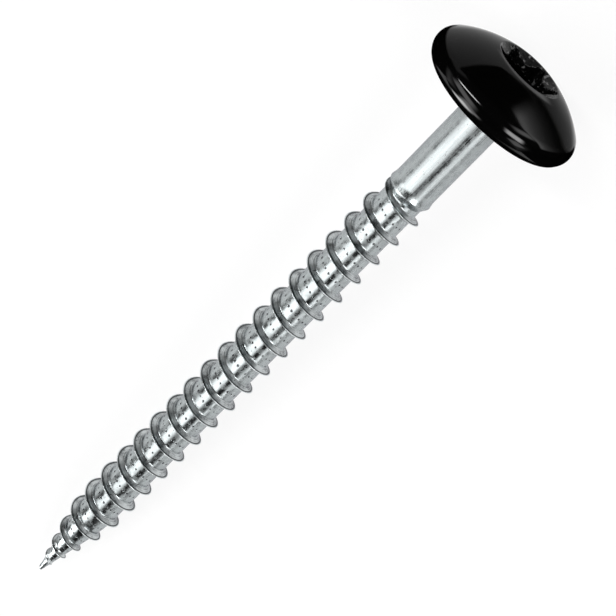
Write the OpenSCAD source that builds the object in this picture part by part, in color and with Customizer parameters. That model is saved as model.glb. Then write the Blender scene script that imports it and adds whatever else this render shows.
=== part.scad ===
// Facade screw in one piece: a wide, low domed head with a star socket, a short plain shank,
// and a coarse wood thread that runs down to a slim point.
// It lies on a flat surface with its head towards +X, and rests on the rim of the head and on
// the thread behind the point. +Z is up, z = 0 is the surface, and the origin is the bottom
// centre of the bounding box. Lengths are in millimetres.

/* [Head] */
// Diameter of the head over its rounded rim
head_d = 16.2; // [14:0.1:19]
// Radius of the rounded rim in section
rim_r = 1.55; // [1.2:0.05:1.8]
// Radius of the domed top in section
dome_r = 12.1; // [11:0.1:15]
// Size of the sloped neck between shank and underside
neck = 0.45; // [0.2:0.05:0.8]

/* [Star socket] */
// Width across the lobes of the star
star_d = 6.75; // [6.4:0.05:7.1]
// Width between the ribs of the star
star_core_d = 4.85; // [4.6:0.05:5]
// Radius at the tip of each lobe
lobe_r = 0.55; // [0.5:0.05:0.7]
// Depth of the star below its mouth
star_depth = 3.4; // [2.6:0.1:3.8]
// How far the countersunk mouth reaches past the lobes
mouth_margin = 0.1; // [0.05:0.05:0.4]
// Slope of the countersunk mouth
mouth_slope = 30; // [15:1:40]
// Turn of the star about the axis of the screw
star_turn = -12; // [-30:1:30]
// Width of the pointed floor
floor_d = 4.4; // [3:0.1:4.5]
// Depth of the pointed floor
floor_depth = 0.7; // [0.3:0.1:0.9]

/* [Shank] */
// Length from the point to the underside of the head
screw_len = 70; // [60:1:90]
// Diameter of the plain shank
shank_d = 4.5; // [4.2:0.05:5]
// Length of the plain shank
shank_len = 10.6; // [6:0.2:20]
// Length of the shoulder between core and shank
shoulder_len = 0.7; // [0.5:0.05:1.2]
// Height of the burr that the shoulder leaves on the shank
burr = 0.12; // [0.05:0.01:0.2]
// Length of the burr
burr_len = 0.6; // [0.3:0.1:1.2]

/* [Thread] */
// Distance between turns
pitch = 2.73; // [2.2:0.01:3.2]
// Diameter of the thread beside the shank
thread_d = 5.5; // [5:0.05:6.2]
// Diameter of the thread behind the point
thread_front_d = 5.25; // [4.9:0.05:6]
// Diameter of the core beside the shank
core_d = 3.95; // [3.5:0.05:4.05]
// Diameter of the core behind the point
core_front_d = 3.8; // [3.3:0.05:3.9]
// Width of the thread at its foot
tooth_foot = 0.7; // [0.5:0.05:1.1]
// Width of the thread at its crest
tooth_crest = 0.12; // [0.08:0.01:0.4]
// Length over which the last turn sinks into the shoulder
runout_len = 2; // [1:0.1:3]
// Hand of the thread
thread_hand = -1; // [-1:Left, 1:Right]

/* [Point] */
// Length of the slim cone of the core
point_len = 9.2; // [7:0.1:12]
// Diameter of its blunt end
point_d = 0.4; // [0.3:0.05:0.8]
// Half the length of the rounding between cone and core
point_blend = 2; // [0.5:0.1:3]
// Length over which the thread grows to its full height
thread_growth = 12; // [10:0.5:15]
// Length over which the turns lie closer together
close_len = 5; // [3:0.1:7]
// How much closer they lie there, as a share of the pitch
closeness = 0.32; // [0:0.02:0.4]

/* [Hidden] */
$fn = 96;
// Columns round the thread, and steps in each arc of the star
columns = 40;
arc_steps = 8;
// Lobes of the star
lobes = 6;
// How far a solid runs into its neighbour, and a cutter past the face that it cuts
overlap = 0.4;

// The head, measured along the axis from the point
underside_z = screw_len;
rim_x = head_d / 2 - rim_r;
rim_z = underside_z + rim_r;
dome_reach = dome_r - rim_r;
dome_z = rim_z - sqrt(dome_reach * dome_reach - rim_x * rim_x);
// A ray from the centre of the dome through the centre of the rim, and on past both arcs
ray = 1 + 2 * rim_r / dome_reach;

// The socket: the ribs between the lobes are arcs that touch the lobes, half a step away from them
half_step = 180 / lobes;
mouth_r = star_d / 2 + mouth_margin;
mouth_z = dome_z + sqrt(dome_r * dome_r - mouth_r * mouth_r);
star_z = mouth_z - star_depth;
lobe_x = star_d / 2 - lobe_r;
core_x = star_core_d / 2;
rib_r = (lobe_x * lobe_x + core_x * core_x - 2 * lobe_x * core_x * cos(half_step) - lobe_r * lobe_r)
    / (2 * (lobe_r + lobe_x * cos(half_step) - core_x));
rib_x = core_x + rib_r;
lobe_span = atan2(rib_x * sin(half_step), rib_x * cos(half_step) - lobe_x);
rib_span = lobe_span - half_step;

// The shank, its burr and its shoulder
shank_z = screw_len - shank_len;
burr_z = shank_z - burr_len;
shoulder_z = burr_z - shoulder_len;
shoulder_slope = (shank_d / 2 + burr - core_d / 2) / shoulder_len;

// The core and the thread: four rows of points for each turn, two of them on the crest
cone_slope = (core_front_d - point_d) / 2 / point_len;
// Radius that the skin keeps below the blunt end, where it is cut off
waste_r = point_d / 4;
tooth_rows = [-tooth_foot / 2, -tooth_crest / 2, tooth_crest / 2, tooth_foot / 2];
turn_rows = len(tooth_rows);

// From 0 to 1 as z goes from low to high
function share(z, low, high) = min(max((z - low) / (high - low), 0), 1);
function body_r(z) = (core_front_d + (core_d - core_front_d) * share(z, point_len, shoulder_z)) / 2;
function full_r(z) = (thread_front_d + (thread_d - thread_front_d) * share(z, point_len, shoulder_z)) / 2;
// Radius of the core: a cone, a rounding and a long, almost straight body
function core_r(z) =
    z < point_len - point_blend ? max(point_d / 2 + cone_slope * z, waste_r)
    : z < point_len + point_blend
        ? body_r(z) - cone_slope * pow(point_len + point_blend - z, 2) / (4 * point_blend)
        : body_r(z);
// Height of the thread: it grows along the point and sinks away at the shoulder
function growth(z) = 1 - pow(1 - share(z, 0, thread_growth), 2);
function runout(z) = 1 - share(z, burr_z + burr_len / 2 - runout_len, burr_z + burr_len / 2);
function tooth_h(z) = (full_r(z) - body_r(z)) * growth(z) * runout(z);
function crest_r(z) = core_r(z) + tooth_h(z);

// How the screw lies: the lowest crest on a line from the thread to the rim touches the surface,
// and the thread is turned so that a crest faces down there
lean_guess = (head_d - thread_d) / 2 / (screw_len - thread_growth);
search_step = 0.05;
drops = [for (z = [0:search_step:shank_z]) crest_r(z) - lean_guess * z];
rest_z = search_step * search(max(drops), drops)[0];
rest_len = rim_z - rest_z;
rest_rise = rim_x - crest_r(rest_z);
tilt = atan(rest_rise / rest_len) + asin(rim_r / sqrt(rest_len * rest_len + rest_rise * rest_rise));
lift = crest_r(rest_z) * cos(tilt) - rest_z * sin(tilt);
left_x = -point_d / 2 * sin(tilt);
right_x = mouth_z * cos(tilt) + mouth_r * sin(tilt);

// Turns of the thread before and after the crest that touches down, and rows in all; the closer
// turns of the point are carried on below the blunt end, where they are cut off
close_gain = closeness * close_len;
turns_before = ceil((rest_z + close_gain / (1 - closeness)) / pitch) + 1;
turns_after = ceil((shank_z - rest_z) / pitch);
rows = turn_rows * (turns_before + turns_after + 1);

// Height that an even helix reaches at z once its turns lie closer at the point
function closed_up(z) = z + closeness * max(close_len - z, 0);
function row_z(row, column) =
    closed_up(rest_z + pitch * (floor(row / turn_rows) - turns_before + column / columns))
    + tooth_rows[row % turn_rows];
function on_crest(row) = row % turn_rows == 1 || row % turn_rows == 2;
function row_point(row, column) =
    let (
        z = row_z(row, column),
        r = on_crest(row) ? crest_r(z) : core_r(z),
        turn = 360 * column / columns
    )
    [r * cos(turn), thread_hand * r * sin(turn), z];
// The column after the last one is the first one of the next turn
function point_id(row, column) =
    column < columns ? row * columns + column : (row + turn_rows) * columns;
function fan(centre, edge) = [for (k = [0:len(edge) - 2]) [centre, edge[k], edge[k + 1]]];

// Part of a circle whose centre lies at a distance from the axis
function arc(distance, turn, r, from, to) =
    [for (k = [0:arc_steps])
        let (a = turn + from + (to - from) * k / arc_steps)
        [distance * cos(turn) + r * cos(a), distance * sin(turn) + r * sin(a)]];
// The same without its two ends, which belong to its neighbours
function inner(points) = [for (k = [1:len(points) - 2]) points[k]];

// Half the section of the head: a flat underside, a rounded rim and a low dome
module head_section() {
    ray_x = rim_x * ray;
    ray_z = dome_z + (rim_z - dome_z) * ray;
    top_z = dome_z + dome_r + overlap;
    intersection() {
        translate([0, dome_z]) circle(dome_r);
        polygon([
            [0, underside_z], [rim_x, underside_z], [rim_x, rim_z],
            [ray_x, ray_z], [ray_x, top_z], [0, top_z]
        ]);
    }
    intersection() {
        translate([rim_x, rim_z]) circle(rim_r);
        polygon([
            [rim_x, rim_z], [rim_x, underside_z - rim_r],
            [ray_x + rim_r, underside_z - rim_r], [ray_x, ray_z]
        ]);
    }
}

// Six-lobed star as wide as the driver that fits it
module star() {
    polygon([
        for (k = [0:lobes - 1]) each concat(
            arc(lobe_x, 2 * k * half_step, lobe_r, -lobe_span, lobe_span),
            inner(arc(rib_x, (2 * k + 1) * half_step, rib_r, 180 + rib_span, 180 - rib_span))
        )
    ]);
}

// The hollow of the socket: a countersunk mouth, the star and a pointed floor
module socket() {
    cone_z = mouth_z - mouth_r * tan(mouth_slope);
    cone_h = dome_z + dome_r + overlap - cone_z;
    translate([0, 0, cone_z]) cylinder(h = cone_h, r1 = 0, r2 = cone_h / tan(mouth_slope));
    translate([0, 0, star_z]) rotate(star_turn) linear_extrude(star_depth) star();
    translate([0, 0, star_z - floor_depth])
        rotate_extrude() polygon([
            [0, 0], [floor_d / 2, floor_depth],
            [floor_d / 2, floor_depth + overlap], [0, floor_depth + overlap]
        ]);
}

module head() {
    color("#1b1b1d") difference() {
        rotate_extrude() head_section();
        socket();
    }
}

// Plain shank, from the shoulder behind the thread into the head
module shank() {
    inner_r = core_d / 2 - overlap;
    inner_z = shoulder_z - overlap / shoulder_slope;
    color("silver") rotate_extrude() polygon([
        [0, inner_z], [inner_r, inner_z], [shank_d / 2 + burr, burr_z], [shank_d / 2, shank_z],
        [shank_d / 2, underside_z - neck], [shank_d / 2 + neck + overlap, underside_z + overlap],
        [0, underside_z + overlap]
    ]);
}

// Core and thread as one skin, whose rows follow the helix
module threaded_core() {
    points = concat(
        [for (row = [0:rows - 1]) for (column = [0:columns - 1]) row_point(row, column)],
        [[0, 0, row_z(0, 0)], [0, 0, row_z(rows - 1, 0)]]
    );
    // Each column runs on to the next, and the last column to the first one a turn later
    skin = [
        for (column = [0:columns - 1])
            for (row = [0:rows - 2 - (column < columns - 1 ? 0 : turn_rows)])
                let (
                    low = point_id(row, column), high = point_id(row + 1, column),
                    next_low = point_id(row, column + 1), next_high = point_id(row + 1, column + 1)
                )
                each [[low, high, next_high], [low, next_high, next_low]]
    ];
    bottom_edge = concat(
        [for (column = [0:columns]) point_id(0, column)],
        [for (row = [turn_rows - 1:-1:0]) point_id(row, 0)]
    );
    top_edge = concat(
        [for (row = [rows - 1 - turn_rows:rows - 1]) point_id(row, columns - 1)],
        [for (column = [columns - 2:-1:0]) point_id(rows - 1, column)],
        [point_id(rows - 1 - turn_rows, columns - 1)]
    );
    faces = concat(skin, fan(len(points) - 2, bottom_edge), fan(len(points) - 1, top_edge));
    // A left-hand skin is the mirror image, so its faces turn the other way round
    polyhedron(points, thread_hand > 0 ? faces : [for (face = faces) [face[2], face[1], face[0]]]);
}

// The threaded core cut off at its blunt end
module thread() {
    waste = point_d + 2 * overlap;
    waste_h = pitch * (turns_before + 1);
    color("silver") difference() {
        threaded_core();
        translate([-waste, -waste, -waste_h]) cube([2 * waste, 2 * waste, waste_h]);
    }
}

// Lays a solid that stands on its point down on the surface
module lying() {
    translate([-(left_x + right_x) / 2, 0, lift]) rotate([0, 90 - tilt, 0]) children();
}

module screw() {
    lying() {
        head();
        shank();
        thread();
    }
}

screw();
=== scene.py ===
"""Facade screw: the visible surfaces, their finishes, the studio and the camera.

Lengths are in millimetres. A surface is made in the screw's own frame, whose z axis runs from the point
to the head, and comes into the shared frame, in metres, when lie_down() lays it on the floor. Floor,
cards and mat are given in the shared frame, where +X runs along the screw past its head, and +Y is on
the left in the photograph's view.
"""

import math

import bpy
import numpy as np
from mathutils import Matrix


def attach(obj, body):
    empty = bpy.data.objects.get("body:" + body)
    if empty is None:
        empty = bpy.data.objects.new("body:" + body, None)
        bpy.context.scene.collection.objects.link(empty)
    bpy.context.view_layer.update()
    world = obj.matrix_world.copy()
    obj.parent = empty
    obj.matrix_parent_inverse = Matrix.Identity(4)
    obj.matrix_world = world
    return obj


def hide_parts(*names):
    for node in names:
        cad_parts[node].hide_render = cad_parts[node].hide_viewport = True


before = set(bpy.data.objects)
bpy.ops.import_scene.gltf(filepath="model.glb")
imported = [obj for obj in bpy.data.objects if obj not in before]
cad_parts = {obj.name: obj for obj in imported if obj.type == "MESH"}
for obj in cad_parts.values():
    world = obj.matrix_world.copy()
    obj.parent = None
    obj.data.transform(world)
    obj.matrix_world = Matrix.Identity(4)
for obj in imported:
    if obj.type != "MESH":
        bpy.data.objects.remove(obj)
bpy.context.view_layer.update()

MM_PER_M = 1000
MICRON = 0.000001

# sizes of the part, in mm and degrees
HEAD_D, RIM_R, DOME_R, NECK = 16.2, 1.55, 12.1, 0.45
STAR_D, STAR_CORE_D, LOBE_R, STAR_DEPTH, STAR_TURN, LOBES = 6.75, 4.85, 0.55, 3.4, -12.0, 6
MOUTH_MARGIN, MOUTH_SLOPE, FLOOR_D, FLOOR_DEPTH = 0.1, 30.0, 4.4, 0.7
SCREW_LEN, SHANK_D, SHANK_LEN, SHOULDER_LEN, BURR, BURR_LEN = 70.0, 4.5, 10.6, 0.7, 0.12, 0.6
PITCH, THREAD_D, THREAD_FRONT_D, CORE_D, CORE_FRONT_D = 2.73, 5.5, 5.25, 3.95, 3.8
TOOTH_FOOT, TOOTH_CREST, RUNOUT_LEN, THREAD_HAND = 0.7, 0.06, 2.0, -1
POINT_LEN, POINT_D, POINT_BLEND, THREAD_GROWTH = 9.2, 0.4, 2.0, 12.0
CLOSE_LEN, CLOSENESS = 5.0, 0.32

# how the screw lies: the height on its axis that touches down, its tilt, its lift and its ends
REST_Z, TILT, LIFT, LEFT_X, RIGHT_X = 9.75, math.radians(5.13533), 1.66938, -0.0179017, 74.8804
MIDDLE_X = (LEFT_X + RIGHT_X) / 2

RIM_X = HEAD_D / 2 - RIM_R
RIM_Z = SCREW_LEN + RIM_R
DOME_Z = RIM_Z - math.sqrt((DOME_R - RIM_R) ** 2 - RIM_X**2)
MOUTH_R = STAR_D / 2 + MOUTH_MARGIN
MOUTH_Z = DOME_Z + math.sqrt(DOME_R**2 - MOUTH_R**2)
STAR_Z = MOUTH_Z - STAR_DEPTH
SHANK_Z = SCREW_LEN - SHANK_LEN
BURR_Z = SHANK_Z - BURR_LEN
SHOULDER_Z = BURR_Z - SHOULDER_LEN


# meshes from point grids
def lie_down(points):
    """Turns points (mm, axis along z) about y by 90 degrees less the tilt, lifts them on to the floor
    and moves the middle of the length to x = 0; the result is in metres."""
    x, y, z = points[..., 0], points[..., 1], points[..., 2]
    c, s = math.cos(TILT), math.sin(TILT)
    laid = np.stack([z * c + x * s - MIDDLE_X, y, LIFT + z * s - x * c], -1)
    return laid / MM_PER_M


def add_object(name, data):
    """Adds an object with this mesh or camera to the scene, at the origin."""
    added = bpy.data.objects.new(name, data)
    bpy.context.scene.collection.objects.link(added)
    return added


def closed_skin(name, points, turn_rows=0, flip=False, marks=None):
    """A closed surface from a grid of points (rows, columns, 3) that wraps round the axis.

    The column after the last one is the first one again, turn_rows rows further on, so that a
    helix can run on from turn to turn. The first and the last rows are closed with a fan each.
    marks is a name and a number for each point of the grid, which a finish can read.
    """
    rows, columns = points.shape[:2]
    flat = points.reshape(-1, 3)
    ids = np.arange(rows * columns).reshape(rows, columns)
    after = np.full((rows, columns), -1)
    after[:, :-1] = ids[:, 1:]
    after[: rows - turn_rows, -1] = ids[turn_rows:, 0]
    quads = np.stack([ids[:-1], after[:-1], after[1:], ids[1:]], -1).reshape(-1, 4)
    quads = quads[(quads >= 0).all(1)]
    low, high = ids[0], ids[-1]
    if turn_rows:
        low = np.concatenate([low, ids[turn_rows:0:-1, 0]])
        high = np.concatenate([high, ids[rows - 1 - turn_rows : rows - 1, -1][::-1]])
    centres = np.stack([flat[low].mean(0), flat[high].mean(0)])
    low_centre, high_centre = ids.size, ids.size + 1
    fans = [(low_centre, n, m) for m, n in zip(low, np.roll(low, -1))]
    fans += [(high_centre, m, n) for m, n in zip(high, np.roll(high, -1))]
    if flip:
        quads, fans = quads[:, ::-1], [fan[::-1] for fan in fans]
    mesh = bpy.data.meshes.new(name)
    places = lie_down(np.concatenate([flat, centres]))
    mesh.from_pydata(places.tolist(), [], quads.tolist() + [tuple(int(i) for i in fan) for fan in fans])
    mesh.validate()
    piece = add_object(name, mesh)
    mesh.polygons.foreach_set("use_smooth", np.ones(len(mesh.polygons), bool))
    if marks:
        layer = mesh.attributes.new(marks[0], "FLOAT", "POINT")
        layer.data.foreach_set("value", np.concatenate([marks[1].ravel(), [0, 0]]).astype(np.float32))
    return piece


# the most of a side that a corner's curve takes up, and the most with the guard point beside it
CURVE_MOST, GUARD_MOST = 0.45, 0.49


def rounded(corners, radii, steps=5, guard=0.03):
    """A path (points, columns, 2) through corners (corners, columns, 2) with its corners rounded.

    A corner becomes a quadratic curve between the points that lie its radius before and after it,
    with one more point a little outside each, which keeps the flats flat where they are shaded.
    """
    path = [corners[0]]
    for k in range(1, len(corners) - 1):
        before, at, after = corners[k - 1], corners[k], corners[k + 1]
        back, on = before - at, after - at
        lb, lo = np.linalg.norm(back, axis=-1, keepdims=True), np.linalg.norm(on, axis=-1, keepdims=True)
        r = np.minimum(radii[k], CURVE_MOST * np.minimum(lb, lo))
        start, end = at + back / lb * r, at + on / lo * r
        path.append(at + back / lb * np.minimum(r + guard, GUARD_MOST * lb))
        for t in np.linspace(0, 1, steps):
            path.append((1 - t) ** 2 * start + 2 * t * (1 - t) * at + t * t * end)
        path.append(at + on / lo * np.minimum(r + guard, GUARD_MOST * lo))
    path.append(corners[-1])
    return np.array(path)


def spun(path, angles):
    """Points at a path's (rows, columns, 2) radius and height, turned about the axis by each column's
    angle."""
    r, z = path[..., 0], path[..., 1]
    return np.stack([r * np.cos(angles), r * np.sin(angles), z], -1)


# radius of the first and the last ring of a path, which a fan closes
END_RING = 0.05

# head: rings of its underside, steps of its rim and dome, the angle (radians) by which the dome stops
# short of the mouth, the least step from the star's wall to its floor, and the rounding of each corner of
# the socket's path
UNDERSIDE_RINGS = (END_RING, 1.5, 3.0, 4.5, 5.8, RIM_X - END_RING)
RIM_STEPS, DOME_STEPS = 40, 30
SHORT_OF_MOUTH, FLOOR_STEP = 0.012, 0.1
SOCKET_ROUNDING = [0, 0.09, 0.07, 0.12, 0.1, 0]


def star_radius(angles):
    """Distance of the star's wall from the axis: the lobes are circles, and the ribs between them are
    circles that touch the lobes and lie half a step away."""
    lobe_x, core_x, half = STAR_D / 2 - LOBE_R, STAR_CORE_D / 2, math.pi / LOBES
    rib_r = (lobe_x**2 + core_x**2 - 2 * lobe_x * core_x * math.cos(half) - LOBE_R**2) / (
        2 * (LOBE_R + lobe_x * math.cos(half) - core_x)
    )
    rib_x = core_x + rib_r
    span = math.atan2(rib_x * math.sin(half), rib_x * math.cos(half) - lobe_x)
    touch = math.atan2(LOBE_R * math.sin(span), lobe_x + LOBE_R * math.cos(span))
    d = np.abs((angles - math.radians(STAR_TURN) + half) % (2 * half) - half)
    lobe = lobe_x * np.cos(d) + np.sqrt(np.maximum(LOBE_R**2 - (lobe_x * np.sin(d)) ** 2, 0))
    rib = rib_x * np.cos(half - d) - np.sqrt(np.maximum(rib_r**2 - (rib_x * np.sin(half - d)) ** 2, 0))
    return np.where(d < touch, lobe, rib)


def make_head(columns=384):
    """The painted head: flat underside, half-round rim and low dome as one path, then the countersunk
    mouth, the star's wall and the pointed floor, whose radii follow the star round the axis."""
    angles = np.linspace(0, 2 * math.pi, columns, endpoint=False)
    wall = star_radius(angles)
    one = np.ones(columns)

    def ring(r, z):
        """A row of the path: one radius and height for all columns, or one for each."""
        return np.stack([r * one, z * one], -1)

    underside = [ring(r, SCREW_LEN) for r in UNDERSIDE_RINGS]
    join = math.pi / 2 - math.atan2(RIM_Z - DOME_Z, RIM_X)
    rim = [
        ring(RIM_X + RIM_R * math.sin(a), RIM_Z + RIM_R * math.cos(a))
        for a in np.linspace(math.pi, join, RIM_STEPS)
    ]
    edge = math.asin(MOUTH_R / DOME_R) + SHORT_OF_MOUTH
    dome = [
        ring(DOME_R * math.sin(a), DOME_Z + DOME_R * math.cos(a))
        for a in np.linspace(join, edge, DOME_STEPS)[1:]
    ]
    cone_low = MOUTH_Z - (MOUTH_R - wall) * math.tan(math.radians(MOUTH_SLOPE))
    inside = np.minimum(FLOOR_D / 2, wall - FLOOR_STEP)
    corners = np.array(
        [
            dome[-1],
            ring(MOUTH_R, MOUTH_Z),
            ring(wall, cone_low),
            ring(wall, STAR_Z),
            ring(inside, STAR_Z),
            ring(END_RING, STAR_Z - FLOOR_DEPTH),
        ]
    )
    socket = rounded(corners, SOCKET_ROUNDING)
    path = np.array(underside + rim + dome + list(socket[1:]))
    return closed_skin("head", spun(path, angles[None]))


# shank: how far its ends run on inside the core and the head, one more ring on its plain part, and the
# rounding of each corner of its path
RUN_ON, PLAIN_RING = 0.4, 3.0
SHANK_ROUNDING = [0, 0.02, 0.06, 0.25, 0.1, 0.2, 0.02, 0]


def make_shank(columns=160):
    """The plain shank, its neck below the head, its burr and its shoulder, as one path round the axis."""
    angles = np.linspace(0, 2 * math.pi, columns, endpoint=False)
    r = SHANK_D / 2
    slope = (r + BURR - CORE_D / 2) / SHOULDER_LEN
    low_end = SHOULDER_Z - RUN_ON / slope
    corners = [
        (END_RING, low_end),
        (CORE_D / 2 - RUN_ON, low_end),
        (r + BURR, BURR_Z),
        (r, SHANK_Z),
        (r, SHANK_Z + PLAIN_RING),
        (r, SCREW_LEN - NECK),
        (r + NECK + RUN_ON, SCREW_LEN + RUN_ON),
        (END_RING, SCREW_LEN + RUN_ON),
    ]
    corners = np.array(corners)[:, None, :] * np.ones((1, columns, 1))
    path = rounded(corners, SHANK_ROUNDING, steps=6)
    return closed_skin("shank", spun(path, angles[None]))


# thread: the power by which its flanks are hollow, the length over which its corners are rounded, and
# the rounding where its turns start to lie closer
HOLLOW, TOOTH_ROUNDING, CLOSE_ROUNDING = 1.9, 0.05, 0.6
# the rows' distances from the middle of the tooth, and the one beyond which they are drawn together
ROWS = [0.0, 0.025, 0.045, 0.065, 0.09, 0.12, 0.16, 0.21, 0.27, 0.33, 0.39, 0.44, 0.49, 0.56, 0.68, 0.85, 1.1]
DRAWN_FROM = 0.5
# the length over which its ends close, how far it stays below the shank's lower end, and its least radius
END_CLOSING, BELOW_SHANK, LEAST_R = 0.6, 0.2, 1e-4
# the number on each of its points, which its finish reads
FROM_CREST = "from_crest"


def share(z, low, high):
    """From 0 to 1 as z goes from low to high."""
    return np.clip((z - low) / (high - low), 0, 1)


def long_cone(z, front_d, back_d):
    """Half of front_d as far as the point's upper end, and from there evenly to half of back_d at the
    shoulder."""
    return (front_d + (back_d - front_d) * share(z, POINT_LEN, SHOULDER_Z)) / 2


def core_radius(z):
    """The core: a cone from the blunt end, a rounding, and a long body that grows slightly."""
    slope = (CORE_FRONT_D - POINT_D) / 2 / POINT_LEN
    body = long_cone(z, CORE_FRONT_D, CORE_D)
    cone = POINT_D / 2 + slope * z
    bend = body - slope * (POINT_LEN + POINT_BLEND - z) ** 2 / (4 * POINT_BLEND)
    return np.where(z < POINT_LEN - POINT_BLEND, cone, np.where(z < POINT_LEN + POINT_BLEND, bend, body))


def tooth_height(z):
    """Height of the thread: it grows along the point, and sinks away at the shoulder."""
    full = long_cone(z, THREAD_FRONT_D, THREAD_D) - long_cone(z, CORE_FRONT_D, CORE_D)
    growth = 1 - (1 - share(z, 0, THREAD_GROWTH)) ** 2
    end = BURR_Z + BURR_LEN / 2
    return full * growth * (1 - share(z, end - RUNOUT_LEN, end))


def closed_up(z):
    """Height that an even helix reaches at z once its turns lie closer at the point: a share of what is
    left to the end of that length is added, with a short rounding where it starts."""
    left = CLOSE_LEN - z
    return z + CLOSENESS * (left + np.sqrt(left**2 + CLOSE_ROUNDING**2)) / 2


def tooth_shape(offsets, samples=4001):
    """Height across the thread, from 0 at its feet to 1 on its crest: hollow flanks, along which the
    thickness grows with the power HOLLOW of the depth, with corners rounded by a moving average."""
    fine = np.linspace(-PITCH / 2, PITCH / 2, samples)
    outward = (np.abs(fine) - TOOTH_CREST / 2) / ((TOOTH_FOOT - TOOTH_CREST) / 2)
    raw = 1 - np.clip(outward, 0, 1) ** (1 / HOLLOW)
    kernel = np.hanning(int(TOOTH_ROUNDING / (fine[1] - fine[0])) + 2)
    smooth = np.convolve(raw, kernel / kernel.sum(), "same")
    return np.interp(offsets, fine, smooth / smooth.max())


def make_thread(columns=96):
    """Core and thread as one helical grid. A column is one angle; its rows run along the axis through
    every turn, and the height on the axis is the crest's plus the row's offset. Offsets beyond the tooth
    are drawn together where the turns lie closer. The radius is the core's, plus the tooth's height
    times its shape at that offset. Below the blunt end and inside the shank it closes to the axis."""
    offsets = np.array([-v for v in ROWS[:0:-1]] + ROWS + [PITCH / 2])
    per_turn = len(offsets)
    gain = CLOSENESS * CLOSE_LEN / (1 - CLOSENESS)
    before, after = math.ceil((REST_Z + gain) / PITCH) + 1, math.ceil((SHANK_Z - REST_Z) / PITCH)
    row = np.arange(per_turn * (before + after + 1))[:, None]
    column = np.arange(columns)[None]
    w = offsets[row % per_turn] + 0 * column
    off_crest = np.abs(w)
    even = REST_Z + PITCH * (row // per_turn - before + column / columns)
    crest = closed_up(even)
    room = np.where(w > 0, closed_up(even + PITCH) - crest, crest - closed_up(even - PITCH)) / 2
    drawn = DRAWN_FROM + (off_crest - DRAWN_FROM) * (room - DRAWN_FROM) / (PITCH / 2 - DRAWN_FROM)
    z = crest + np.sign(w) * np.where(off_crest > DRAWN_FROM, drawn, off_crest)
    r = core_radius(z) + tooth_height(z) * tooth_shape(w)
    r = np.where(z < 0, np.maximum(POINT_D / 2 * (1 + z / END_CLOSING), LEAST_R), r)
    top = SHANK_Z - BELOW_SHANK
    r = np.where(z > top, np.maximum(CORE_D / 2 * (1 - (z - top) / END_CLOSING), LEAST_R), r)
    z = np.clip(z, 0, top)
    turn = 2 * math.pi * column / columns
    points = np.stack([r * np.cos(turn), THREAD_HAND * r * np.sin(turn), z], -1)
    return closed_skin("thread", points, per_turn, THREAD_HAND < 0, (FROM_CREST, off_crest))


# nodes: a value is a number, a vector, a colour (linear red, green, blue) or a node's output
def grey(tone):
    """The colour with this much of red, green and blue alike."""
    return (tone, tone, tone)


def put(tree, node, inputs):
    """Gives some inputs of a node their values, and returns the node: an output is linked to the input,
    and any other value is set on it."""
    for key, value in inputs.items():
        socket = node.inputs[key]
        if isinstance(value, bpy.types.NodeSocket):
            tree.links.new(value, socket)
        else:
            socket.default_value = (*value, 1) if socket.type == "RGBA" else value
    return node


def add_node(tree, kind, inputs):
    """A new node of this kind with these inputs."""
    return put(tree, tree.nodes.new(kind), inputs)


def new_material(name):
    """A material and its tree, which holds a Principled shader and the output."""
    material = bpy.data.materials.new(name)
    material.use_nodes = True
    return material, material.node_tree


def principled(tree, inputs):
    """The tree's Principled shader with these inputs."""
    return put(tree, tree.nodes["Principled BSDF"], inputs)


def matte(tone):
    """Inputs of a Principled shader for an even grey surface without shine."""
    return {"Base Color": grey(tone), "Roughness": 1.0, "Specular IOR Level": 0.0}


def surface_from(tree, share_of_b, a, b):
    """Makes the material's surface from shader a where the share is 0 and shader b where it is 1."""
    mix = add_node(tree, "ShaderNodeMixShader", {"Fac": share_of_b, 1: a.outputs[0], 2: b.outputs[0]})
    put(tree, tree.nodes["Material Output"], {"Surface": mix.outputs[0]})


def math_node(tree, operation, *values):
    """The result of one operation on these values."""
    node = tree.nodes.new("ShaderNodeMath")
    node.operation = operation
    return put(tree, node, dict(enumerate(values))).outputs[0]


def times(tree, *values):
    """The product of the values."""
    product = values[0]
    for value in values[1:]:
        product = math_node(tree, "MULTIPLY", product, value)
    return product


def diagonal(tree, a, b):
    """Square root of a squared plus b squared."""
    return math_node(tree, "SQRT", math_node(tree, "ADD", times(tree, a, a), times(tree, b, b)))


def parts(tree, vector):
    """The X, Y and Z of a vector, by name."""
    return add_node(tree, "ShaderNodeSeparateXYZ", {"Vector": vector}).outputs


def remap(tree, value, low, high, to_low, to_high, kind="LINEAR"):
    """An even run from to_low to to_high as the value goes from low to high."""
    node = tree.nodes.new("ShaderNodeMapRange")
    node.interpolation_type = kind
    limits = {"From Min": low, "From Max": high, "To Min": to_low, "To Max": to_high}
    return put(tree, node, {"Value": value, **limits}).outputs["Result"]


def fade(tree, value, low, high, to_low=0.0, to_high=1.0):
    """A smooth step from to_low to to_high as the value goes from low to high."""
    return remap(tree, value, low, high, to_low, to_high, "SMOOTHSTEP")


def blend(tree, share_of_b, a, b, kind="FLOAT"):
    """a where the share is 0 and b where it is 1: numbers, or colours if the kind is RGBA."""
    node = tree.nodes.new("ShaderNodeMix")
    node.data_type = kind
    suffix = {"FLOAT": "_Float", "RGBA": "_Color"}[kind]
    keys = {socket.identifier: k for k, socket in enumerate(node.inputs)}
    put(tree, node, {keys["Factor_Float"]: share_of_b, keys["A" + suffix]: a, keys["B" + suffix]: b})
    return {socket.identifier: socket for socket in node.outputs}["Result" + suffix]


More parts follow.
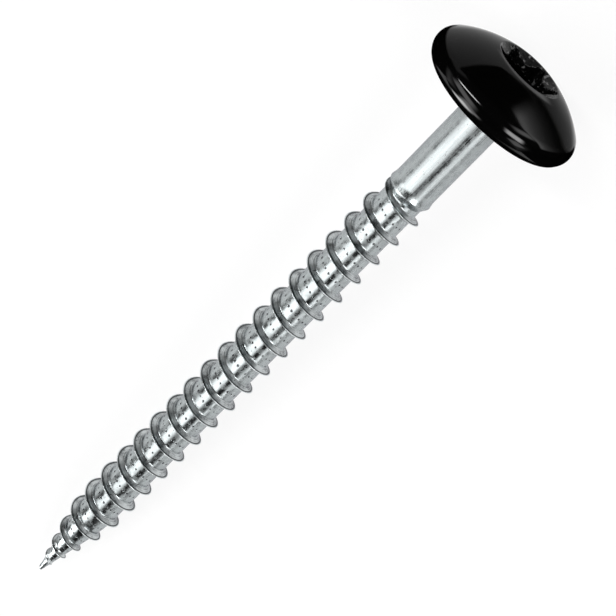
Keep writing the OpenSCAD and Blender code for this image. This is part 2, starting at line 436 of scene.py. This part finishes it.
def colour_ramp(tree, value, stops):
    """The colour at the value's place between the stops, each of them a place and a colour."""
    node = add_node(tree, "ShaderNodeValToRGB", {"Fac": value})
    elements = node.color_ramp.elements
    for k, (place, colour) in enumerate((stops[0], stops[-1])):
        elements[k].position, elements[k].color = place, (*colour, 1)
    for place, colour in stops[1:-1]:
        elements.new(place).color = (*colour, 1)
    return node.outputs["Color"]


def along_the_screw(tree, scale):
    """Object coordinates, in metres, turned and moved so that x runs along the screw's axis from the
    point, then scaled, by one number or by one for each direction."""
    c, s = math.cos(TILT), math.sin(TILT)
    point_x, point_z = -MIDDLE_X / MM_PER_M, LIFT / MM_PER_M
    straight = {
        "Vector": tree.nodes.new("ShaderNodeTexCoord").outputs["Object"],
        "Rotation": (0, TILT, 0),
        "Location": (-point_x * c - point_z * s, 0, point_x * s - point_z * c),
    }
    stretched = {
        "Vector": add_node(tree, "ShaderNodeMapping", straight).outputs["Vector"],
        "Scale": scale if isinstance(scale, tuple) else (scale, scale, scale),
    }
    return add_node(tree, "ShaderNodeMapping", stretched).outputs["Vector"]


def noise(tree, vector, detail, roughness=0.55):
    """Cloudy noise round 0.5, whose blobs are about one unit of the vector wide."""
    inputs = {"Vector": vector, "Scale": 1.0, "Detail": detail, "Roughness": roughness}
    return add_node(tree, "ShaderNodeTexNoise", inputs).outputs["Fac"]


def bump(tree, height, strength, distance, below=None):
    """The normal of a surface that the height raises by up to the distance, over another bump if any."""
    inputs = {"Height": height, "Strength": strength, "Distance": distance}
    if below is not None:
        inputs["Normal"] = below
    return add_node(tree, "ShaderNodeBump", inputs).outputs["Normal"]


# finishes
# most of a noise's values lie between these two
MOST = (0.3, 0.7)

# black paint: its tone and sheen, the socket's tones with small bright specks of painted glints, and how
# rough the paint, the dust on it and the socket are; then how far inside the mouth's radius, and how high
# above the underside, the socket's finish sets in and is full
PAINT_TONE, PAINT_SHEEN = grey(0.0008), 0.32
SOCKET_TONES_WITH_PAINTED_GLINTS = [(0.5, grey(0.0005)), (0.62, grey(0.003)), (0.68, grey(0.14))]
PAINT_ROUGHNESS, DUST_ROUGHNESS, SOCKET_ROUGHNESS = (0.06, 0.1), (0.0, 0.08), (0.08, 0.25)
INSIDE_MOUTH, ABOVE_UNDERSIDE = (0.02, 0.1), (0.3, 0.6)


def black_paint():
    """Glossy black paint with a faint orange peel and a little dust. In the socket it lies thin and
    rough, with small bright specks that are painted glints."""
    material, tree = new_material("black_paint")
    place = parts(tree, along_the_screw(tree, MM_PER_M))
    in_socket = times(
        tree,
        fade(tree, diagonal(tree, place["Y"], place["Z"]), *[MOUTH_R - d for d in INSIDE_MOUTH]),
        fade(tree, place["X"], *[SCREW_LEN + d for d in ABOVE_UNDERSIDE]),
    )
    grain = noise(tree, along_the_screw(tree, 3200), detail=3, roughness=0.65)
    patches = noise(tree, along_the_screw(tree, 500), detail=2)
    dust = noise(tree, along_the_screw(tree, 1500), detail=3, roughness=0.7)
    # bright specks in the socket, which are painted glints
    painted_glints = noise(tree, along_the_screw(tree, 1700), detail=2)
    peel = noise(tree, along_the_screw(tree, 900), detail=2)
    dusty = fade(tree, dust, 0.6, 0.75, *DUST_ROUGHNESS)
    gloss = math_node(tree, "ADD", remap(tree, patches, *MOST, *PAINT_ROUGHNESS), dusty)
    smooth = bump(tree, peel, 0.25, 4 * MICRON)
    inputs = {
        "Base Color": blend(tree, in_socket, PAINT_TONE, colour_ramp(tree, painted_glints, SOCKET_TONES_WITH_PAINTED_GLINTS), "RGBA"),
        "Specular IOR Level": PAINT_SHEEN,
        "Roughness": blend(tree, in_socket, gloss, remap(tree, grain, *MOST, *SOCKET_ROUGHNESS)),
        "Normal": bump(tree, times(tree, grain, in_socket), 0.7, 100 * MICRON, smooth),
    }
    principled(tree, inputs)
    return material


# zinc: the tint of its grazing reflection; its tones by a noise and in pits; a painted shade beside the
# crest and a painted highlight on it; and how rough it is
ZINC = {"Metallic": 1.0, "Specular Tint": (0.7, 0.7, 0.72)}
SHANK_TONES = [(0.35, (0.335, 0.36, 0.365)), (0.65, (0.43, 0.46, 0.465))]
VALLEY_TONES = [(0.35, (0.35, 0.375, 0.38)), (0.65, (0.455, 0.49, 0.495))]
FLANK_TONES = [(0.42, (0.17, 0.182, 0.186)), (0.57, (0.6, 0.63, 0.635))]
SHANK_PIT_TONE, THREAD_PIT_TONE = (0.2, 0.2, 0.205), (0.06, 0.06, 0.065)
PAINTED_SHADE_BESIDE_CREST, PAINTED_CREST_HIGHLIGHT = (0.05, 0.053, 0.055), (0.72, 0.76, 0.765)
SHANK_ROUGHNESS, VALLEY_ROUGHNESS, FLANK_ROUGHNESS = (0.18, 0.38), (0.14, 0.36), (0.24, 0.42)
CREST_ROUGHNESS = 0.3
# zones of the thread: the distances from the middle of the tooth over which each one starts or ends, and
# how ragged the flank's end is
CREST_END, BESIDE_CREST_START, BESIDE_CREST_END = (0.045, 0.02), (0.03, 0.045), (0.075, 0.06)
FLANK_START, FLANK_END, FLANK_RAGGED = (0.02, 0.06), (0.38, 0.28), (-0.06, 0.06)
# rows of pits: pits in a turn, the distances from a pit's middle at which it ends and is full, and how
# ragged it is; a whole number of pits is added to keep the place round the axis above zero
PITS_PER_TURN, PIT_EDGE, PIT_RAGGED, WHOLE_PITS = 22, (0.13, 0.07), (-0.05, 0.05), 50.0
# rolling lines: how close they lie across the tooth, and how short they are round the axis
LINES_ACROSS, LINES_ROUND = 16.0, 1.2


def zinc_grain(tree, streak_scale):
    """Fine drawn streaks, a mottle, and small pits, each from 0 to 1."""
    streaks = noise(tree, along_the_screw(tree, streak_scale), detail=4, roughness=0.6)
    mottle = noise(tree, along_the_screw(tree, 1400), detail=5, roughness=0.65)
    fine = noise(tree, along_the_screw(tree, 5200), detail=2, roughness=0.5)
    return streaks, mottle, fade(tree, fine, 0.66, 0.76)


def bright_zinc():
    """Bright zinc plating on the plain shank: drawn streaks, a mottled shine and a few pits."""
    material, tree = new_material("bright_zinc")
    streaks, mottle, pits = zinc_grain(tree, (260, 7000, 7000))
    gloss = math_node(tree, "ADD", times(tree, streaks, 0.5), times(tree, mottle, 0.5))
    lines = bump(tree, streaks, 0.35, 3 * MICRON)
    inputs = {
        "Base Color": blend(tree, pits, colour_ramp(tree, mottle, SHANK_TONES), SHANK_PIT_TONE, "RGBA"),
        "Roughness": remap(tree, gloss, 0.4, 0.6, *SHANK_ROUGHNESS),
        "Normal": bump(tree, mottle, 0.25, 8 * MICRON, lines),
    }
    principled(tree, {**ZINC, **inputs})
    return material


def rolling_lines(tree, from_crest, y, z, from_axis):
    """Noise that runs in lines along the crest: its place is the distance from the crest and the
    direction from the axis, whose two parts are y and z over the distance from it."""
    inputs = {"X": times(tree, from_crest, LINES_ACROSS)}
    for key, value in (("Y", y), ("Z", z)):
        inputs[key] = times(tree, math_node(tree, "DIVIDE", value, from_axis), LINES_ROUND)
    place = add_node(tree, "ShaderNodeCombineXYZ", inputs).outputs[0]
    return noise(tree, place, detail=3, roughness=0.6)


def row_of_pits(tree, from_crest, y, z, from_axis, mottle):
    """1 in the pits along the middle of each valley and 0 beside them, by the distance from the nearest
    pit's middle: its part round the axis, and its part along the axis."""
    pit = times(tree, math_node(tree, "ARCTAN2", z, y), PITS_PER_TURN / (2 * math.pi))
    place = math_node(tree, "FRACT", math_node(tree, "ADD", pit, WHOLE_PITS))
    off_pit = times(tree, math_node(tree, "SUBTRACT", place, 0.5), from_axis, 2 * math.pi / PITS_PER_TURN)
    off_middle = math_node(tree, "SUBTRACT", PITCH / 2, from_crest)
    ragged = remap(tree, mottle, *MOST, *PIT_RAGGED)
    return fade(tree, math_node(tree, "ADD", diagonal(tree, off_pit, off_middle), ragged), *PIT_EDGE)


def rolled_zinc():
    """Zinc plating on the rolled thread: valleys almost as bright as the shank with a row of small pits
    along their middle, dull grey flanks that end in a ragged line, and a painted highlight on the crest
    between two fine dark lines of painted shade. from_crest is the distance from the middle of the tooth
    along the axis, in mm."""
    material, tree = new_material("rolled_zinc")
    mark = tree.nodes.new("ShaderNodeAttribute")
    mark.attribute_name = FROM_CREST
    from_crest = mark.outputs["Fac"]
    place = parts(tree, along_the_screw(tree, MM_PER_M))
    y, z = place["Y"], place["Z"]
    from_axis = diagonal(tree, y, z)
    streaks, mottle, fine_pits = zinc_grain(tree, (1500, 3800, 3800))
    coarse = noise(tree, along_the_screw(tree, (700, 900, 900)), detail=3, roughness=0.6)
    lines = rolling_lines(tree, from_crest, y, z, from_axis)
    large_pits = row_of_pits(tree, from_crest, y, z, from_axis, mottle)
    pits = math_node(tree, "MAXIMUM", fine_pits, large_pits)

    ragged = math_node(tree, "ADD", from_crest, remap(tree, mottle, *MOST, *FLANK_RAGGED))
    flank = times(tree, fade(tree, ragged, *FLANK_END), fade(tree, from_crest, *FLANK_START))
    # the crest gets a painted highlight, and the zone beside it a painted shade
    crest = fade(tree, from_crest, *CREST_END)
    painted_shade_beside_crest = times(
        tree, fade(tree, from_crest, *BESIDE_CREST_END), fade(tree, from_crest, *BESIDE_CREST_START)
    )

    dulling = times(tree, math_node(tree, "ADD", coarse, lines), 0.5)
    tone = colour_ramp(tree, mottle, VALLEY_TONES)
    for zone, zone_tone in (
        (flank, colour_ramp(tree, dulling, FLANK_TONES)),
        (painted_shade_beside_crest, PAINTED_SHADE_BESIDE_CREST),
        (crest, PAINTED_CREST_HIGHLIGHT),
        (pits, THREAD_PIT_TONE),
    ):
        tone = blend(tree, zone, tone, zone_tone, "RGBA")
    gloss = remap(tree, mottle, 0.42, 0.62, *VALLEY_ROUGHNESS)
    gloss = blend(tree, flank, gloss, remap(tree, coarse, 0.35, 0.65, *FLANK_ROUGHNESS))
    normal = None
    for height, strength, distance in (
        (streaks, 0.4, 5 * MICRON),
        (math_node(tree, "SUBTRACT", 1.0, large_pits), 0.8, 50 * MICRON),
        (times(tree, lines, flank), 0.6, 30 * MICRON),
        (coarse, 0.4, 30 * MICRON),
    ):
        normal = bump(tree, height, strength, distance, normal)
    inputs = {
        "Base Color": tone,
        "Roughness": blend(tree, crest, gloss, CREST_ROUGHNESS),
        "Normal": normal,
    }
    principled(tree, {**ZINC, **inputs})
    return material


# studio
# azimuth, elevation, width, height, roll (degrees), strength, soft share of the half sides
SOFTBOXES = [
    (71.6, 56.5, 6, 46, 24, 27.0, 0.5),
    (-85, 43, 29, 36, 0, 11.0, 0.6),
    (159, 8, 26, 44, -15, 15.0, 0.75),
    (140, 56, 82, 30, 22, 2.9, 0.5),
    (163, 33, 36, 30, 0, 3.4, 0.5),
    (-117, 28, 26, 24, -10, 2.3, 0.5),
    (-40, 16, 24, 46, 0, 2.4, 0.8),
    (50, 10, 36, 34, 0, 0.3, 0.5),
]
# a softbox's least share of a ray along its middle, and the least at which it is lit
LEAST_AHEAD, LIT_AHEAD = 0.001, 0.01
# light of the room and of its haze, which is the product of smooth steps by a ray's direction
ROOM_LIGHT, HAZE_LIGHT = 0.02, 1.1
HAZE_STEPS = [
    ("Z", 0.6, 0.0),  # low down
    ("X", 0.0, -0.2),  # behind the point
    ("X", -0.75, -0.6),  # and not too far behind it
    ("Y", -0.3, 0.3, 0.6, 1.15),  # lighter on the left
]
# floor: its radius, its corners, how white it is, and the even share of its light
FLOOR_R, FLOOR_CORNERS, FLOOR_TONE, FLOOR_EVEN = 3000.0, 96, 0.92, 0.85


def direction(azimuth, elevation):
    """Unit vector: azimuth from +X towards +Y, elevation above the floor, in degrees."""
    a, e = math.radians(azimuth), math.radians(elevation)
    return np.array([math.cos(e) * math.cos(a), math.cos(e) * math.sin(a), math.sin(e)])


def vector_math(tree, operation, *vectors):
    """The number that one operation on these vectors gives."""
    node = tree.nodes.new("ShaderNodeVectorMath")
    node.operation = operation
    return put(tree, node, dict(enumerate(vectors))).outputs["Value"]


def softbox(tree, ray, azimuth, elevation, width, height, roll, strength, soft):
    """Light from a soft-edged rectangle of sky: a direction's place on it is its share along the two sides
    over its share along the middle, and the light fades over the soft part of each half side."""
    middle = direction(azimuth, elevation)
    flat = np.cross([0, 0, 1.0], middle)
    flat /= np.linalg.norm(flat)
    rise = np.cross(middle, flat)
    c, s = math.cos(math.radians(roll)), math.sin(math.radians(roll))
    ahead = vector_math(tree, "DOT_PRODUCT", ray, middle.tolist())
    ahead = math_node(tree, "MAXIMUM", ahead, LEAST_AHEAD)
    light = times(tree, math_node(tree, "GREATER_THAN", ahead, LIT_AHEAD), strength)
    for side, angle in ((c * flat + s * rise, width), (-s * flat + c * rise, height)):
        aside = vector_math(tree, "DOT_PRODUCT", ray, side.tolist())
        place = math_node(tree, "ABSOLUTE", math_node(tree, "DIVIDE", aside, ahead))
        reach = math.tan(math.radians(angle / 2))
        light = times(tree, light, fade(tree, place, reach, reach * (1 - soft)))
    return light


def ray_kinds(tree):
    """Whether a ray comes from the camera, and whether it was mirrored or went through something."""
    path = tree.nodes.new("ShaderNodeLightPath").outputs
    sent_on = math_node(tree, "MAXIMUM", path["Is Glossy Ray"], path["Is Transmission Ray"])
    return path["Is Camera Ray"], sent_on


def make_world():
    """A dim room with softboxes, and with haze low down behind the point, which is lighter on the left.
    The camera sees white, and so do mirrored and see-through rays below the horizon."""
    world = bpy.data.worlds.new("studio")
    bpy.context.scene.world = world
    world.use_nodes = True
    tree = world.node_tree
    ray = tree.nodes.new("ShaderNodeTexCoord").outputs["Generated"]
    toward = parts(tree, ray)
    haze = [fade(tree, toward[axis], *limits) for axis, *limits in HAZE_STEPS]
    light = math_node(tree, "ADD", times(tree, *haze, HAZE_LIGHT), ROOM_LIGHT)
    for box in SOFTBOXES:
        light = math_node(tree, "ADD", light, softbox(tree, ray, *box))
    from_camera, sent_on = ray_kinds(tree)
    below = math_node(tree, "LESS_THAN", toward["Z"], 0.0)
    white = math_node(tree, "MAXIMUM", from_camera, times(tree, sent_on, below))
    put(tree, tree.nodes["Background"], {"Color": grey(1.0), "Strength": blend(tree, white, light, 1.0)})


def sheet(name, corners):
    """A flat object with these corners, given in mm."""
    mesh = bpy.data.meshes.new(name)
    mesh.from_pydata((np.array(corners) / MM_PER_M).tolist(), [], [tuple(range(len(corners)))])
    return add_object(name, mesh)


def make_floor():
    """A white floor that keeps the object's soft shadow: part plain matte white under the lights, and part
    even white for the camera and for mirrored and see-through rays alike."""
    a = np.linspace(0, 2 * math.pi, FLOOR_CORNERS, endpoint=False)
    floor = sheet("floor", FLOOR_R * np.stack([np.cos(a), np.sin(a), 0 * a], -1))
    material, tree = new_material("floor_white")
    even = add_node(tree, "ShaderNodeEmission", {"Color": grey(1.0), "Strength": 1.0})
    seen = math_node(tree, "MAXIMUM", *ray_kinds(tree))
    surface_from(tree, times(tree, seen, FLOOR_EVEN), principled(tree, matte(FLOOR_TONE)), even)
    floor.data.materials.append(material)


def show_in_gloss_only(stage_piece):
    """Hides a card from the camera and keeps its shade off the floor, so that it only shows where the
    paint and the zinc mirror it."""
    stage_piece.visible_camera = False
    stage_piece.visible_diffuse = False
    stage_piece.visible_shadow = False


# dark cards, which paint dark reflections into the paint and the zinc: name, the four corners in mm in turn,
# soft share, whether it is a disc
DARK_CARDS = [
    ("card_in_front", [(60, -11.5, -4), (60, 5, -4), (60, 36, 24), (60, -11.5, 24)], 0.3, False),
    (
        "card_behind_head",
        [(31.5, -8.4, -0.5), (31.5, 8.4, -0.5), (31.5, 8.4, 16.3), (31.5, -8.4, 16.3)],
        0.06,
        True,
    ),
    ("card_left", [(28, 9.5, -4), (36, 9.5, -4), (36, 9.5, 17), (28, 9.5, 17)], 0.2, False),
    ("card_right", [(28, -9.5, -4), (36, -9.5, -4), (36, -9.5, 17), (28, -9.5, 17)], 0.2, False),
    ("card_above_head", [(26, -6.2, 20), (34.5, -6.2, 20), (34.5, 3.2, 20), (26, 3.2, 20)], 0.57, False),
]
CARD_UV = "across_card"


def make_dark_card(name, corners, soft, disc):
    """A soft-edged dark card, or a disc that just fits into its corners, which only paints a dark reflection.
    soft is the share of each half side, or of the disc's radius, over which it fades out."""
    card = sheet(name, corners)
    layer = card.data.uv_layers.new(name=CARD_UV)
    for loop, corner in zip(layer.data, ((0, 0), (1, 0), (1, 1), (0, 1))):
        loop.uv = corner
    material, tree = new_material(name)
    uv_map = tree.nodes.new("ShaderNodeUVMap")
    uv_map.uv_map = CARD_UV
    place = parts(tree, uv_map.outputs[0])
    # from 0 in the middle of the card to 1 at its edges
    outward = [
        times(tree, math_node(tree, "ABSOLUTE", math_node(tree, "SUBTRACT", place[axis], 0.5)), 2.0)
        for axis in "XY"
    ]
    if disc:
        outward = [diagonal(tree, *outward)]
    solid = times(tree, *[fade(tree, way, 1.0, 1 - soft) for way in outward])
    clear = tree.nodes.new("ShaderNodeBsdfTransparent")
    surface_from(tree, solid, clear, principled(tree, matte(0.0)))
    card.data.materials.append(material)
    show_in_gloss_only(card)


# how light the mat's painted reflection is by distance from the head's foot (mm), on its two sides
MAT_LEFT = [(2, 0.8), (5, 0.5), (9, 0.38), (60, 0.3), (1000, 0.3)]
MAT_RIGHT = [
    (2, 0.7),
    (5, 0.35),
    (9, 0.22),
    (13, 0.2),
    (16, 0.01),
    (20, 0.03),
    (30, 0.15),
    (60, 0.6),
    (200, 1.7),
]
# the distance at place 1 of both sides' ramps, and half the width over which the sides meet
MAT_RAMP_END, MAT_SEAM = 1000.0, 3.0
# where the mat starts and ends, its height over the floor, the place of the head's foot, and how far
# ahead of the foot the mat sets in
MAT_NEAR, MAT_FAR, MAT_HEIGHT, FOOT_X, MAT_SETS_IN = 34.0, 2000.0, 0.05, 38.0, (-4.0, 0.0)
# the painted loop of light: its middle ahead of the foot, its half length, half width and light; how far off
# its line it ends and is full, as a share of the halves; and how far ahead of the foot it sets in
LOOP_MIDDLE, LOOP_LONG, LOOP_WIDE, LOOP_LIGHT = 4.5, 12.5, 6.3, 1.5
LOOP_EDGE, LOOP_SETS_IN = (0.22, 0.08), (6.0, 12.0)


def make_front_mat():
    """A glowing grey mat on the floor in front of the head, with a dark line on its right and a loop of
    light: a painted reflection that glows without being a lamp, and shows only as its reflection in the
    paint."""
    edges = ((MAT_NEAR, -MAT_FAR), (MAT_FAR, -MAT_FAR), (MAT_FAR, MAT_FAR), (MAT_NEAR, MAT_FAR))
    mat = sheet("front_mat", [(x, y, MAT_HEIGHT) for x, y in edges])
    material, tree = new_material("mat_grey")
    centred = {
        "Vector": tree.nodes.new("ShaderNodeTexCoord").outputs["Object"],
        "Scale": (MM_PER_M, MM_PER_M, MM_PER_M),
        "Location": (-FOOT_X, 0, 0),
    }
    from_foot = add_node(tree, "ShaderNodeMapping", centred).outputs["Vector"]
    spread = math_node(tree, "LOGARITHM", vector_math(tree, "LENGTH", from_foot), MAT_RAMP_END)
    sides = [
        colour_ramp(tree, spread, [(math.log(r, MAT_RAMP_END), grey(tone)) for r, tone in stops])
        for stops in (MAT_RIGHT, MAT_LEFT)
    ]
    place = parts(tree, from_foot)
    tone = blend(tree, fade(tree, place["Y"], -MAT_SEAM, MAT_SEAM), *sides, "RGBA")
    ahead = math_node(tree, "DIVIDE", math_node(tree, "SUBTRACT", place["X"], LOOP_MIDDLE), LOOP_LONG)
    aside = math_node(tree, "DIVIDE", place["Y"], LOOP_WIDE)
    off_loop = math_node(tree, "ABSOLUTE", math_node(tree, "SUBTRACT", diagonal(tree, ahead, aside), 1.0))
    in_loop = times(tree, fade(tree, off_loop, *LOOP_EDGE), fade(tree, place["X"], *LOOP_SETS_IN))
    # the mat's tones, its dark line and its loop of light are a painted reflection
    painted_reflection_glow = {"Color": blend(tree, in_loop, tone, grey(LOOP_LIGHT), "RGBA")}
    clear = tree.nodes.new("ShaderNodeBsdfTransparent")
    shown = fade(tree, place["X"], *MAT_SETS_IN)
    surface_from(tree, shown, clear, add_node(tree, "ShaderNodeEmission", painted_reflection_glow))
    mat.data.materials.append(material)
    show_in_gloss_only(mat)


# the photograph's view, from above the head's end: the camera's place in metres, its right, up and back
# as rows, its lens and sensor in mm, and the nearest and farthest that it sees in metres
CAMERA_PLACE = (0.074584, -0.007578, 0.189532)
CAMERA_AXES = (
    (0.659609, -0.700033, -0.273624),
    (0.664268, 0.713286, -0.223541),
    (0.351658, -0.03431, 0.9355),
)
LENS, SENSOR_WIDTH, NEAREST, FARTHEST = 121.189, 36.0, 0.01, 20.0


def make_camera():
    """The camera at its place, turned so that its axes are the given ones."""
    data = bpy.data.cameras.new("camera")
    data.sensor_width = SENSOR_WIDTH
    data.lens = LENS
    data.clip_start, data.clip_end = NEAREST, FARTHEST
    camera = add_object("camera", data)
    axes = Matrix(CAMERA_AXES).transposed()
    camera.matrix_world = Matrix.Translation(CAMERA_PLACE) @ axes.to_4x4()
    bpy.context.scene.camera = camera


# put together
bpy.context.scene.view_settings.view_transform = "Standard"
finished = ((make_head(), black_paint()), (make_shank(), bright_zinc()), (make_thread(), rolled_zinc()))
for piece, finish in finished:
    piece.data.materials.append(finish)
    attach(piece, "root")
    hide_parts("screw")

make_floor()
for card in DARK_CARDS:
    make_dark_card(*card)
make_front_mat()
make_world()
make_camera()
